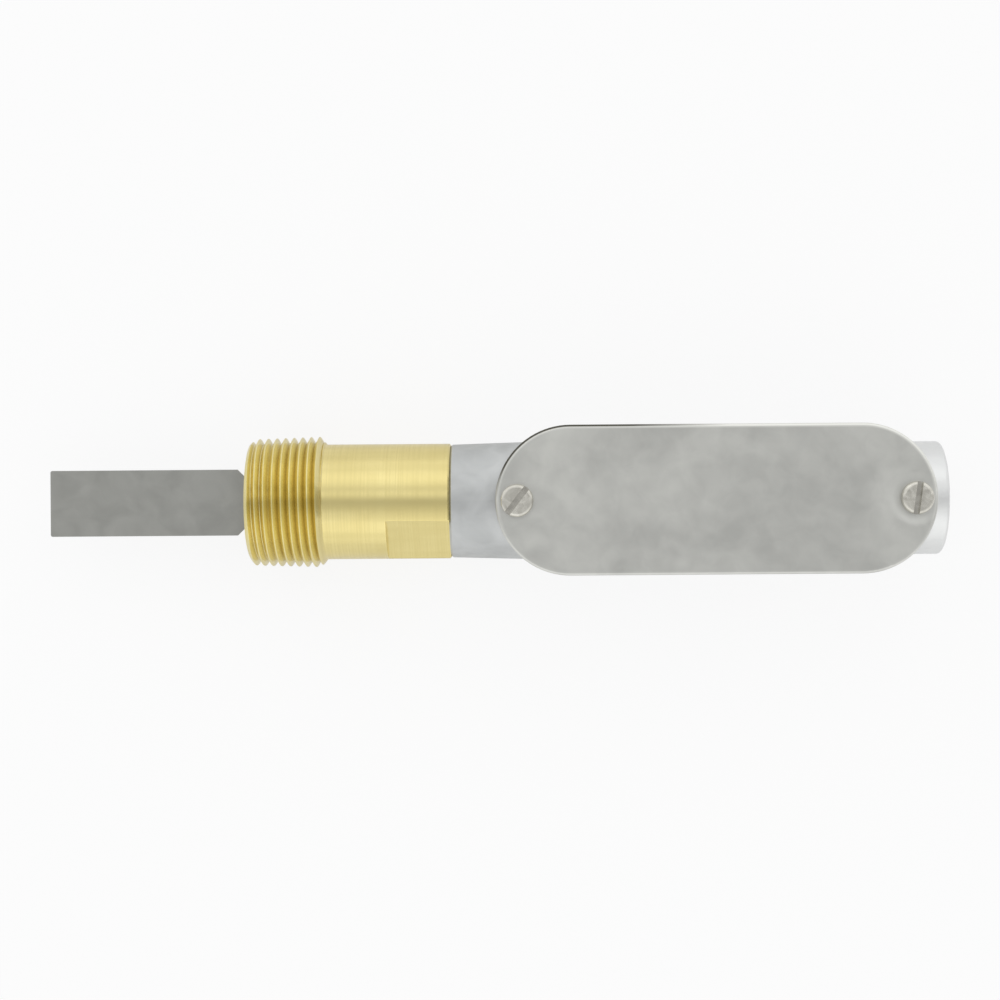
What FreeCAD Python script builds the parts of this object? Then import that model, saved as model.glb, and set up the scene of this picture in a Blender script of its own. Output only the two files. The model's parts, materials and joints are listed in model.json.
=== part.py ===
import FreeCAD, Part
import math
import os
from FreeCAD import Vector

# Paddle flow switch, in millimetres.
# The origin is the centre of the process connection's end face. +X runs along the pipe thread's
# axis to the conduit entry, +Z is square to the cover, and the vane's pivot runs along Y.

# ---- process connection: 1 inch taper pipe thread, cylinder and conduit nipple
thread_pitch = 25.4 / 11.5
thread_crest_width = 0.17
thread_flank_angle = 30.0
thread_slope = 1 / 32
thread_crest_radius = 16.3
thread_turns = 8
thread_first_root = 1.1
thread_lead_drop = 1.2
thread_end_land = 0.2
thread_runout = 1.8
body_radius = 14.8
body_length = 51.4
body_chamfer = 0.35
wrench_flat_across = 25.4
wrench_flat_length = 16.0
wrench_flat_angle = 50.0
nipple_radius = 10.4
nipple_length = 13.0
nipple_chamfer = 0.6
wet_bore_radius = 11.2
wet_bore_depth = 26.0
barrier_thickness = 3.5
dry_bore_radius = 7.6

# ---- clearances
press_gap = 0.03
pivot_gap = 0.03
seat_gap = 0.3
screw_gap = 0.1
hub_gap = 0.05
overcut = 1.0
touching = 1e-6

# ---- vane and its hinge in the wetted bore
vane_reach = 52.0
vane_width = 17.0
vane_thickness = 0.9
vane_tip_radius = 0.5
vane_neck_width = 12.0
vane_neck_start = -1.3
vane_end_setback = 4.0
pivot_x = 13.0
pivot_pin_radius = 1.5
pivot_pin_end_gap = 0.4
pivot_pin_chamfer = 0.3
knuckle_wall = 0.8
tongue_reach = 12.0
tongue_width = 11.8
tongue_thickness = 3.5
arm_width = 6.7
arm_height = 5.0
rivet_radius = 1.0
rivet_head_radius = 1.7
rivet_head_height = 0.7
rivet_setback = 8.0
rivet_spacing = 7.2
cup_wall = 0.97
cup_floor = 1.5
cup_end_gap = 1.0
vane_magnet_radius = 3.2
vane_magnet_length = 5.0
yoke_wall = 1.8
yoke_ear_length = 8.0
yoke_window_gap = 0.5
spring_wire_radius = 0.3
spring_wire_sides = 8
spring_pin_gap = 0.3
spring_leg_gap = 0.1
spring_pocket_gap = 0.4
spring_end_gap = 0.7
spring_turns = 4.5
spring_pitch = 0.75
spring_standing_leg = 7.0
spring_lying_leg = 4.0

# ---- conduit housing
hub_radius = 14.55
hub_growth = 0.65
hub_chamfer = 0.5
entry_bore_radius = 10.3
entry_edge_radius = 1.0
entry_hub_reach = 3.8
housing_back = -17.0
flange_top = 16.0
flange_thickness = 3.2
tub_width = 36.0
tub_bottom_radius = 12.0
tub_end_radius = 15.0
wall = 2.8
cavity_front_inset = 10.9
cavity_rear_inset = 10.4
cavity_end_radius = 5.0
cavity_corner_radius = 9.0

# ---- cover
cover_setback = 11.7
cover_length = 110.3
cover_width = 37.6
cover_thickness = 1.2
cover_edge_radius = 0.7
flange_inset = 0.35
gasket_thickness = 1.2
cover_screw_inset = 5.4
cover_screw_radius = 2.05
cover_screw_length = 6.35
cover_screw_end_gap = 0.65
cover_screw_head_radius = 4.1
cover_screw_head_height = 2.1
cover_screw_dome = 0.9
cover_screw_slot_width = 1.5
cover_screw_slot_depth = 1.1
cover_screw_slot_angles = (52.0, 82.0)

# ---- lever and its bracket on the dry side
pad_radius = 3.6
pad_height = 2.2
bracket_thickness = 1.5
bracket_front_gap = 1.5
bracket_rear_reach = 2.9
bracket_top_drop = 0.4
ear_width = 7.0
lever_pivot_z = -3.5
lever_pin_radius = 1.0
lever_pin_end = 1.15
lever_barrel_radius = 2.4
lever_thickness = 1.2
lever_width = 7.0
lever_arm_bend = 7.0
lever_tail_bend = 6.5
lever_tail_reach = 2.5
lever_magnet_radius = 3.2
lever_magnet_length = 5.0
lever_magnet_gap = 1.5
lever_disc_rim = 0.8
clip_radius = 2.3
clip_thickness = 0.6
clip_mouth = 1.5

# ---- snap switch
switch_setback = 4.3
switch_length = 27.8
switch_height = 15.9
switch_thickness = 10.3
switch_lid_thickness = 1.7
switch_bottom = -4.5
switch_hole_radius = 1.6
switch_hole_inset = 2.8
switch_hole_rise = 7.0
switch_edge = 0.6
plunger_radius = 1.1
plunger_inset = 7.7
plunger_out = 1.3
plunger_length = 4.4
plunger_travel = 1.25
terminal_length = 6.2
terminal_width = 6.6
terminal_thickness = 0.8
terminal_pitch = 9.0
terminal_tab_width = 3.0
terminal_tab_drop = 3.0
rib_height = 3.2
rib_root = 1.0
rib_thickness = 1.2

# ---- small screws, nuts and washer
m3_radius = 1.5
m3_head_radius = 2.75
m3_head_height = 1.8
m3_slot_width = 0.7
m3_slot_depth = 0.8
small_head_chamfer = 0.6
nut_across = 5.5
nut_height = 2.4
switch_slot_angle = 20.0
bracket_screw_length = 5.0
bracket_screw_inset = 8.5
bracket_screw_rear_inset = 5.0
bracket_slot_angles = (60.0, 110.0)
terminal_screw_length = 3.6
terminal_slot_angles = (0.0, 35.0, 70.0)
ground_inset = 23.0
ground_boss_radius = 4.6
ground_boss_height = 3.0
ground_screw_radius = 2.0
ground_head_radius = 3.9
ground_head_height = 2.2
ground_screw_length = 3.6
ground_slot_angle = 15.0
washer_radius = 4.4
washer_thickness = 0.8

# ---- places on the process connection
thread_flank = (thread_pitch - thread_crest_width) / 2
thread_depth = thread_flank / math.tan(math.radians(thread_flank_angle))
thread_end = thread_first_root + (thread_turns - 1) * thread_pitch + thread_flank + thread_end_land
thread_shoulder = thread_end + thread_runout
barrier_end = wet_bore_depth + barrier_thickness
nipple_end = body_length + nipple_length

# ---- places on the hinge
spring_coil_radius = pivot_pin_radius + spring_pin_gap + spring_wire_radius
spring_coil_length = spring_turns * spring_pitch
spring_pocket_radius = spring_coil_radius + spring_wire_radius + spring_pocket_gap
spring_pocket_width = spring_coil_length + 2 * (spring_wire_radius + spring_end_gap)
spring_lying_height = tongue_thickness / 2 + spring_wire_radius + press_gap
knuckle_radius = spring_pocket_radius + knuckle_wall
yoke_bore_radius = wet_bore_radius - yoke_wall
yoke_ring_start = pivot_x + spring_coil_radius + spring_wire_radius + spring_leg_gap
yoke_ear_start = pivot_x - yoke_ear_length
yoke_window_width = vane_neck_width + 2 * yoke_window_gap
knuckle_width = 2 * (math.sqrt(yoke_bore_radius**2 - knuckle_radius**2) - seat_gap)
pivot_pin_length = 2 * (wet_bore_radius - pivot_pin_end_gap)
vane_inner_end = pivot_x - vane_end_setback
tongue_start = pivot_x - tongue_reach
rivet_x = pivot_x - rivet_setback
cup_radius = vane_magnet_radius + press_gap + cup_wall
cup_end = wet_bore_depth - cup_end_gap
magnet_start = cup_end - vane_magnet_length
cup_start = magnet_start - cup_floor

# ---- places on the housing and cover
hub_bore_radius = nipple_radius + hub_gap
cover_start = body_length + cover_setback
cover_end = cover_start + cover_length
cavity_start = cover_start + cavity_front_inset
cavity_end = cover_end - cavity_rear_inset
cavity_floor = housing_back + wall
cavity_width = tub_width - 2 * wall
housing_end = cover_end + entry_hub_reach
gasket_top = flange_top + gasket_thickness
cover_top = gasket_top + cover_thickness
cover_screw_places = (cover_start + cover_screw_inset, cover_end - cover_screw_inset)
cover_screw_hole_bottom = cover_top - cover_screw_length - cover_screw_end_gap
pad_top = cavity_floor + pad_height
ground_x = cavity_end - ground_inset
ground_top = cavity_floor + ground_boss_height

# ---- places on the lever, bracket and switch
bracket_floor = pad_top + bracket_thickness
bracket_start = cavity_start + bracket_front_gap
ear_end = bracket_start + ear_width
lever_pivot_x = bracket_start + ear_width / 2
switch_start = ear_end + switch_setback
switch_end = switch_start + switch_length
switch_top = switch_bottom + switch_height
bracket_end = switch_end + bracket_rear_reach
bracket_screw_places = (bracket_start + bracket_screw_inset, bracket_end - bracket_screw_rear_inset)
switch_holes = (
    (switch_start + switch_hole_inset, switch_bottom + switch_hole_inset),
    (switch_end - switch_hole_inset, switch_bottom + switch_hole_inset + switch_hole_rise),
)
plunger_x = switch_start + plunger_inset
terminal_middle = switch_start + switch_length / 2
terminal_places = [terminal_middle + step * terminal_pitch for step in (-1, 0, 1)]
inner_wall_y = switch_thickness / 2
outer_wall_y = inner_wall_y + bracket_thickness
lever_pin_length = 2 * (outer_wall_y + clip_thickness + lever_pin_end)
lever_tail_top = switch_bottom - plunger_out - seat_gap
lever_tail_end = plunger_x + lever_tail_reach
lever_magnet_start = barrier_end + lever_magnet_gap
lever_disc_start = lever_magnet_start + lever_magnet_length
lever_disc_radius = lever_magnet_radius + lever_disc_rim

along_x = Vector(1, 0, 0)
along_y = Vector(0, 1, 0)
along_z = Vector(0, 0, 1)


# ---- shapes that repeat
def rod(radius, length, start, direction):
    """A cylinder from a start point along a direction."""
    return Part.makeCylinder(radius, length, start, direction)


def cross_rod(radius, width, x, z):
    """A cylinder along Y, centred on the middle plane."""
    return rod(radius, width, Vector(x, -width / 2, z), along_y)


def block(x, y, z):
    """A box between the two limits given for each axis."""
    return Part.makeBox(x[1] - x[0], y[1] - y[0], z[1] - z[0], Vector(x[0], y[0], z[0]))


def centred_block(x, width, z):
    """A box centred on the middle plane, between two limits along X and along Z."""
    return block(x, (-width / 2, width / 2), z)


def extruded(points, direction):
    """A prism on a closed outline of straight edges."""
    return Part.Face(Part.makePolygon(points + [points[0]])).extrude(direction)


def turned(profile):
    """A solid of revolution about the X axis, from (x, radius) pairs that start and end on it."""
    outline = Part.makePolygon([Vector(x, 0, r) for x, r in profile + [profile[0]]])
    return Part.Face(outline).revolve(Vector(), along_x, 360)


def rounded_plate(x, width, z, corner):
    """A plate in plan with its four upright corners rounded."""
    left, right = x
    half = width / 2
    arcs = []
    for middle_x, middle_y, start in (
        (right - corner, half - corner, 0),
        (left + corner, half - corner, 90),
        (left + corner, corner - half, 180),
        (right - corner, corner - half, 270),
    ):
        circle = Part.Circle(Vector(middle_x, middle_y, z[0]), along_z, corner)
        arcs.append(Part.Arc(circle, math.radians(start), math.radians(start + 90)).toShape())
    edges = []
    for here, after in zip(arcs, arcs[1:] + arcs[:1]):
        edges.append(here)
        begin = here.Vertexes[-1].Point
        end = after.Vertexes[0].Point
        if begin.distanceToPoint(end) > touching:
            edges.append(Part.makeLine(begin, end))
    return Part.Face(Part.Wire(edges)).extrude(along_z * (z[1] - z[0]))


def stadium(x, width, z):
    """A plate in plan with half-round ends."""
    left, right = x
    radius = width / 2
    centres = (left + radius, right - radius)
    middle = centred_block(centres, width, z)
    ends = [rod(radius, z[1] - z[0], Vector(x, 0, z[0]), along_z) for x in centres]
    return middle.fuse(ends).removeSplitter()


def boat(x, width, z, side_radius, end_radius):
    """A block whose bottom edges are rounded along the sides and up the two ends."""
    low, high = z
    sides = centred_block(x, width, (low, high + side_radius))
    bottom_edges = [edge for edge in sides.Edges if edge.BoundBox.ZMax < low + touching]
    long_edges = [edge for edge in bottom_edges if edge.BoundBox.XLength > touching]
    cross_edges = [edge for edge in bottom_edges if edge.BoundBox.YLength > touching]
    trough = sides.makeFillet(side_radius, long_edges)
    cradle = sides.makeFillet(end_radius, cross_edges)
    return trough.common(cradle).common(centred_block(x, width, z))


def upright_section(radius, count):
    """A regular outline of count corners in the XZ plane, round the origin."""
    steps = [math.radians(360 * k / count) for k in range(count)]
    return [Vector(radius * math.cos(turn), 0, radius * math.sin(turn)) for turn in steps]


def strip(points, thickness, width):
    """A bent strip that follows points in the XZ plane."""
    line = [Vector(x, 0, z) for x, z in points]
    turns = []
    for before, after in zip(line, line[1:]):
        run = (after - before).normalize()
        turns.append(Vector(-run.z, 0, run.x))
    normals = [turns[0]]
    for first, second in zip(turns, turns[1:]):
        middle = (first + second).normalize()
        normals.append(middle / middle.dot(first))
    normals.append(turns[-1])
    lift = Vector(0, -width / 2, 0)
    top = [point + normal * (thickness / 2) + lift for point, normal in zip(line, normals)]
    bottom = [point - normal * (thickness / 2) + lift for point, normal in zip(line, normals)]
    return extruded(top + bottom[::-1], Vector(0, width, 0))


def screw(shank, head, slot, slot_angle, place):
    """A slotted screw along Z: shank is (radius, length) below the place, and the head stands on it."""
    radius, length = shank
    width, depth = slot
    top = head.BoundBox.ZMax
    reach = 2 * head.BoundBox.XLength
    slot_block = Part.makeBox(reach, width, 2 * depth, Vector(-reach / 2, -width / 2, top - depth))
    slot_block.rotate(Vector(), along_z, slot_angle)
    solid = head.fuse(rod(radius, length + top / 2, Vector(0, 0, -length), along_z)).cut(slot_block)
    solid.translate(place)
    return solid


def small_head(radius, height):
    """A flat-topped screw head with a chamfered rim."""
    head = rod(radius, height, Vector(), along_z)
    rim = [edge for edge in head.Edges if edge.BoundBox.ZMin > height - touching]
    return head.makeChamfer(small_head_chamfer, rim)


def m3_screw(length, slot_angle, place):
    """A small slotted machine screw along Z, with its head on the place."""
    head = small_head(m3_head_radius, m3_head_height)
    return screw((m3_radius, length), head, (m3_slot_width, m3_slot_depth), slot_angle, place)


# ---- process connection and wetted side
def crest_radius_at(x):
    """The thread's crest radius on its taper."""
    return thread_crest_radius + thread_slope * x


def process_body():
    """Thread, cylinder with two wrench flats and conduit nipple, bored from both ends to a barrier."""
    lead = thread_first_root / 2
    lead_drop = thread_depth - lead / math.tan(math.radians(thread_flank_angle))
    profile = [
        (0, 0),
        (0, thread_crest_radius - thread_lead_drop),
        (lead, crest_radius_at(lead) - lead_drop),
    ]
    for turn in range(thread_turns):
        root = thread_first_root + turn * thread_pitch
        if turn:
            profile.append((root - thread_flank, crest_radius_at(root - thread_flank)))
        profile.append((root, crest_radius_at(root) - thread_depth))
        profile.append((root + thread_flank, crest_radius_at(root + thread_flank)))
    profile += [
        (thread_end, crest_radius_at(thread_end)),
        (thread_shoulder, body_radius),
        (body_length - body_chamfer, body_radius),
        (body_length, body_radius - body_chamfer),
        (body_length, nipple_radius),
        (nipple_end - nipple_chamfer, nipple_radius),
        (nipple_end, nipple_radius - nipple_chamfer),
        (nipple_end, 0),
    ]
    body = turned(profile)
    for side in (0, 180):
        flat = block(
            (body_length - wrench_flat_length, body_length + press_gap),
            (-body_radius, body_radius),
            (wrench_flat_across / 2, body_radius + overcut),
        )
        flat.rotate(Vector(), along_x, wrench_flat_angle + side)
        body = body.cut(flat)
    wet_bore = rod(wet_bore_radius, wet_bore_depth, Vector(), along_x)
    dry_bore = rod(dry_bore_radius, nipple_end - barrier_end, Vector(barrier_end, 0, 0), along_x)
    return body.cut(wet_bore).cut(dry_bore)


def hinge_yoke():
    """A ring pressed into the wetted bore, with two ears that carry the pivot pin."""
    start = Vector(yoke_ear_start, 0, 0)
    outer = rod(wet_bore_radius - press_gap, wet_bore_depth - yoke_ear_start, start, along_x)
    bore = rod(yoke_bore_radius, wet_bore_depth, Vector(), along_x)
    whole_height = (-wet_bore_radius, wet_bore_radius)
    stop_height = cup_radius + seat_gap
    below_stop = block((0, wet_bore_depth), whole_height, (-wet_bore_radius, stop_height))
    ahead_of_ring = block((0, yoke_ring_start), whole_height, whole_height)
    window = centred_block((0, yoke_ring_start), yoke_window_width, whole_height)
    yoke = outer.cut([bore.common(below_stop), bore.common(ahead_of_ring), window])
    return yoke.cut(cross_rod(pivot_pin_radius + press_gap, 2 * wet_bore_radius, pivot_x, 0))


def pivot_pin():
    pin = cross_rod(pivot_pin_radius, pivot_pin_length, pivot_x, 0)
    rims = [edge for edge in pin.Edges if edge.BoundBox.YLength < touching]
    return pin.makeChamfer(pivot_pin_chamfer, rims)


def rivet_places():
    """The centres of the two rivets, in the vane's middle plane."""
    return [Vector(rivet_x, side * rivet_spacing / 2, 0) for side in (-1, 1)]


def vane_carrier():
    """Hinge knuckles with a slotted tongue for the vane and a cup for its magnet."""
    half_tongue = tongue_thickness / 2
    knuckle = cross_rod(knuckle_radius, knuckle_width, pivot_x, 0)
    tongue = centred_block((tongue_start, pivot_x), tongue_width, (-half_tongue, half_tongue))
    arm = centred_block((pivot_x, magnet_start), arm_width, (-arm_height / 2, arm_height / 2))
    cup = rod(cup_radius, cup_end - cup_start, Vector(cup_start, 0, 0), along_x)
    carrier = knuckle.fuse([tongue, arm, cup])
    pocket_start = pivot_x - spring_pocket_radius
    pocket_end = pivot_x + spring_pocket_radius
    above = knuckle_radius + overcut
    half_slot = vane_thickness / 2 + press_gap
    slot_x = (tongue_start - overcut, vane_inner_end + seat_gap)
    seat_length = vane_magnet_length + overcut
    cuts = [
        cross_rod(spring_pocket_radius, spring_pocket_width, pivot_x, 0),
        centred_block((pocket_start, pocket_end), spring_pocket_width, (0, above)),
        centred_block((pivot_x - knuckle_radius, pocket_end), spring_pocket_width, (half_tongue, above)),
        centred_block(slot_x, tongue_width + overcut, (-half_slot, half_slot)),
        rod(vane_magnet_radius + press_gap, seat_length, Vector(magnet_start, 0, 0), along_x),
        cross_rod(pivot_pin_radius + pivot_gap, knuckle_width + overcut, pivot_x, 0),
    ]
    for place in rivet_places():
        start = place - along_z * tongue_thickness
        cuts.append(rod(rivet_radius + press_gap, 2 * tongue_thickness, start, along_z))
    for tool in cuts:
        carrier = carrier.cut(tool)
    return carrier


def vane():
    """A flat strip with rounded tip corners and shoulders cut back to a neck at 45 degrees."""
    half = vane_width / 2
    neck = vane_neck_width / 2
    shoulder = vane_neck_start - (half - neck)
    low = -vane_thickness / 2
    outline = [
        Vector(-vane_reach, half, low),
        Vector(-vane_reach, -half, low),
        Vector(shoulder, -half, low),
        Vector(vane_neck_start, -neck, low),
        Vector(vane_inner_end, -neck, low),
        Vector(vane_inner_end, neck, low),
        Vector(vane_neck_start, neck, low),
        Vector(shoulder, half, low),
    ]
    blade = extruded(outline, along_z * vane_thickness)
    tip_edges = [edge for edge in blade.Edges if edge.BoundBox.XMax < touching - vane_reach]
    upright = [edge for edge in tip_edges if edge.BoundBox.ZLength > touching]
    blade = blade.makeFillet(vane_tip_radius, upright)
    for place in rivet_places():
        start = place - along_z * vane_thickness
        blade = blade.cut(rod(rivet_radius + press_gap, 2 * vane_thickness, start, along_z))
    return blade


def vane_rivets():
    """Two rivets through the tongue and the vane, with low round heads on both sides."""
    rivets = []
    half = tongue_thickness / 2
    for place in rivet_places():
        rivet = rod(rivet_radius, tongue_thickness, place - along_z * half, along_z)
        for side in (-1, 1):
            start = place + along_z * (side * half)
            head = rod(rivet_head_radius, rivet_head_height, start, along_z * side)
            outer_face = side * (half + rivet_head_height)
            rim = [edge for edge in head.Edges if abs(edge.CenterOfMass.z - outer_face) < touching]
            rivet = rivet.fuse(head.makeChamfer(rivet_head_height / 2, rim))
        rivets.append(rivet)
    return Part.makeCompound(rivets)


def vane_magnet():
    return rod(vane_magnet_radius, vane_magnet_length, Vector(magnet_start, 0, 0), along_x)


def spring_leg(points):
    """A run of spring wire through points in one plane square to Y."""
    run = (points[1] - points[0]).normalize()
    across = along_y.cross(run)
    corners = [
        points[0] + along_y * corner.x + across * corner.z
        for corner in upright_section(spring_wire_radius, spring_wire_sides)
    ]
    section = Part.makePolygon(corners + [corners[0]])
    return Part.makePolygon(points).makePipeShell([section], True, False, 1)


def return_spring():
    """A torsion spring round the pivot pin: one leg stands by the ring, one lies on the tongue."""
    near = -spring_coil_length / 2
    far = spring_coil_length / 2
    front = pivot_x - spring_coil_radius
    rear = pivot_x + spring_coil_radius
    path = Part.makeHelix(spring_pitch, spring_coil_length, spring_coil_radius)
    corners = [
        corner + along_x * spring_coil_radius
        for corner in upright_section(spring_wire_radius, spring_wire_sides)
    ]
    section = Part.makePolygon(corners + [corners[0]])
    coil = Part.Wire(path.Edges).makePipeShell([section], True, True)
    coil.rotate(Vector(), along_x, -90)
    coil.translate(Vector(pivot_x, near, 0))
    standing_leg = spring_leg([Vector(rear, near, 0), Vector(rear, near, spring_standing_leg)])
    lying_leg = spring_leg(
        [
            Vector(front, far, 0),
            Vector(front, far, spring_lying_height),
            Vector(front - spring_lying_leg, far, spring_lying_height),
        ]
    )
    return coil.fuse([standing_leg, lying_leg])


# ---- housing and cover
def cavity_outline(z):
    """The housing's cavity seen from the cover, between two heights."""
    return rounded_plate((cavity_start, cavity_end), cavity_width, z, cavity_corner_radius)


def floor_pad(x, radius, height):
    """A cast pad that stands on the cavity floor and is sunk into the wall below it."""
    return rod(radius, height + wall / 2, Vector(x, 0, cavity_floor - wall / 2), along_z)


def housing():
    """A cast conduit body: a boat-shaped tub with a flange and a hub at each end."""
    tub_inset = (cover_width - tub_width) / 2
    tub_x = (cover_start + tub_inset, cover_end - tub_inset)
    tub_z = (housing_back, flange_top)
    tub = stadium(tub_x, tub_width, tub_z)
    tub = tub.common(boat(tub_x, tub_width, tub_z, tub_bottom_radius, tub_end_radius))
    flange_x = (cover_start + flange_inset, cover_end - flange_inset)
    flange_z = (flange_top - flange_thickness, flange_top)
    flange = stadium(flange_x, cover_width - 2 * flange_inset, flange_z)
    left_hub = turned(
        [
            (body_length, 0),
            (body_length, hub_radius - hub_chamfer),
            (body_length + hub_chamfer, hub_radius),
            (cavity_start, hub_radius + hub_growth),
            (cavity_start, 0),
        ]
    )
    right_hub = rod(hub_radius, housing_end - cavity_end, Vector(cavity_end, 0, 0), along_x)
    rim = [edge for edge in right_hub.Edges if edge.BoundBox.XMin > housing_end - touching]
    right_hub = right_hub.makeFillet(entry_edge_radius, rim)
    shell = tub.fuse([flange, left_hub, right_hub]).removeSplitter()
    cavity_x = (cavity_start, cavity_end)
    cavity_z = (cavity_floor, flange_top)
    cavity_bottom_radius = tub_bottom_radius - wall
    hull = boat(cavity_x, cavity_width, cavity_z, cavity_bottom_radius, cavity_end_radius)
    cavity = cavity_outline(cavity_z).common(hull)
    left_depth = cavity_start + wall - body_length
    left_bore = rod(hub_bore_radius, left_depth, Vector(body_length, 0, 0), along_x)
    right_depth = housing_end - cavity_end + wall
    right_bore = rod(entry_bore_radius, right_depth, Vector(cavity_end - wall, 0, 0), along_x)
    shell = shell.cut(cavity.fuse([left_bore, right_bore]))
    pads = [floor_pad(x, pad_radius, pad_height) for x in bracket_screw_places]
    pads.append(floor_pad(ground_x, ground_boss_radius, ground_boss_height))
    shell = shell.fuse(pads)
    pad_depth = bracket_screw_length - bracket_thickness
    for x in bracket_screw_places:
        shell = shell.cut(rod(m3_radius + press_gap, pad_depth, Vector(x, 0, pad_top), -along_z))
    ground_depth = ground_screw_length - washer_thickness
    ground_place = Vector(ground_x, 0, ground_top)
    shell = shell.cut(rod(ground_screw_radius + press_gap, ground_depth, ground_place, -along_z))
    cover_depth = flange_top - cover_screw_hole_bottom
    for x in cover_screw_places:
        start = Vector(x, 0, cover_screw_hole_bottom)
        shell = shell.cut(rod(cover_screw_radius + screw_gap, cover_depth, start, along_z))
    return shell


def cover_gasket():
    """A flat rubber frame between the flange and the cover."""
    ends = (cover_start + flange_inset, cover_end - flange_inset)
    gasket = stadium(ends, cover_width - 2 * flange_inset, (flange_top, gasket_top))
    gasket = gasket.cut(cavity_outline((flange_top, gasket_top)))
    for x in cover_screw_places:
        hole = rod(cover_screw_radius + seat_gap, gasket_thickness, Vector(x, 0, flange_top), along_z)
        gasket = gasket.cut(hole)
    return gasket


def cover_plate():
    """A thin plate with half-round ends and a rolled upper edge."""
    plate = stadium((cover_start, cover_end), cover_width, (gasket_top, cover_top))
    rim = [edge for edge in plate.Edges if edge.BoundBox.ZMin > cover_top - touching]
    plate = plate.makeFillet(cover_edge_radius, rim)
    for x in cover_screw_places:
        hole = rod(cover_screw_radius + press_gap, cover_thickness, Vector(x, 0, gasket_top), along_z)
        plate = plate.cut(hole)
    return plate


def cover_screws():
    """Two pan-head screws whose heads are domed at the rim."""
    slot = (cover_screw_slot_width, cover_screw_slot_depth)
    screws = []
    for x, angle in zip(cover_screw_places, cover_screw_slot_angles):
        head = rod(cover_screw_head_radius, cover_screw_head_height, Vector(), along_z)
        rim = [edge for edge in head.Edges if edge.BoundBox.ZMin > cover_screw_head_height - touching]
        head = head.makeFillet(cover_screw_dome, rim)
        shank = (cover_screw_radius, cover_screw_length)
        screws.append(screw(shank, head, slot, angle, Vector(x, 0, cover_top)))
    return Part.makeCompound(screws)


# ---- dry side: lever, bracket and snap switch
def lever_bracket():
    """A bent sheet: a floor on the pads, a wall that carries the switch and an ear opposite it."""
    wall_y = (inner_wall_y, outer_wall_y)
    floor = centred_block((bracket_start, bracket_end), 2 * outer_wall_y, (pad_top, bracket_floor))
    switch_wall = block((switch_start, bracket_end), wall_y, (pad_top, switch_top - bracket_top_drop))
    web = block((ear_end, switch_start), wall_y, (pad_top, lever_pivot_z))
    pieces = [switch_wall, web]
    for side in (-1, 1):
        ear_y = sorted((side * inner_wall_y, side * outer_wall_y))
        pieces.append(block((bracket_start, ear_end), ear_y, (pad_top, lever_pivot_z)))
        crown_start = Vector(lever_pivot_x, ear_y[0], lever_pivot_z)
        pieces.append(rod(ear_width / 2, bracket_thickness, crown_start, along_y))
    bracket = floor.fuse(pieces).removeSplitter()
    across = 2 * outer_wall_y
    bracket = bracket.cut(cross_rod(lever_pin_radius + press_gap, across, lever_pivot_x, lever_pivot_z))
    for x, z in switch_holes:
        bracket = bracket.cut(cross_rod(m3_radius + screw_gap, across, x, z))
    for x in bracket_screw_places:
        bracket = bracket.cut(rod(m3_radius + screw_gap, bracket_thickness, Vector(x, 0, pad_top), along_z))
    return bracket


def lever_pin():
    return cross_rod(lever_pin_radius, lever_pin_length, lever_pivot_x, lever_pivot_z)


def lever_pin_clips():
    """Two open washers on the lever pin, outside the bracket's ears."""
    clips = []
    for side in (-1, 1):
        start = Vector(lever_pivot_x, side * outer_wall_y, lever_pivot_z)
        clip = rod(clip_radius, clip_thickness, start, along_y * side)
        clip = clip.cut(rod(lever_pin_radius + press_gap, clip_thickness, start, along_y * side))
        low, high = sorted((start.y, start.y + side * clip_thickness))
        mouth = block(
            (lever_pivot_x - clip_mouth / 2, lever_pivot_x + clip_mouth / 2),
            (low, high),
            (lever_pivot_z, lever_pivot_z + 2 * clip_radius),
        )
        clips.append(clip.cut(mouth))
    return Part.makeCompound(clips)


def magnet_lever():
    """A rocker: a long arm into the dry bore with the magnet's disc, and a tail under the plunger."""
    arm = strip(
        [(lever_disc_start, 0), (lever_pivot_x - lever_arm_bend, 0), (lever_pivot_x, lever_pivot_z)],
        lever_thickness,
        lever_width,
    )
    tail_middle = lever_tail_top - lever_thickness / 2
    tail = strip(
        [
            (lever_pivot_x, lever_pivot_z),
            (lever_pivot_x + lever_tail_bend, tail_middle),
            (lever_tail_end, tail_middle),
        ],
        lever_thickness,
        lever_width,
    )
    barrel_length = 2 * (inner_wall_y - seat_gap)
    barrel = cross_rod(lever_barrel_radius, barrel_length, lever_pivot_x, lever_pivot_z)
    disc = rod(lever_disc_radius, lever_thickness, Vector(lever_disc_start, 0, 0), along_x)
    lever = barrel.fuse([arm, tail, disc])
    return lever.cut(cross_rod(lever_pin_radius + pivot_gap, barrel_length, lever_pivot_x, lever_pivot_z))


def lever_magnet():
    return rod(lever_magnet_radius, lever_magnet_length, Vector(lever_magnet_start, 0, 0), along_x)


def switch_half(y):
    """A block of the switch between two limits along Y, with rounded corners and the screw holes."""
    half = block((switch_start, switch_end), y, (switch_bottom, switch_top))
    corners = [edge for edge in half.Edges if edge.BoundBox.YLength > touching]
    half = half.makeFillet(switch_edge, corners)
    for x, z in switch_holes:
        half = half.cut(cross_rod(switch_hole_radius, switch_thickness, x, z))
    return half


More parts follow.
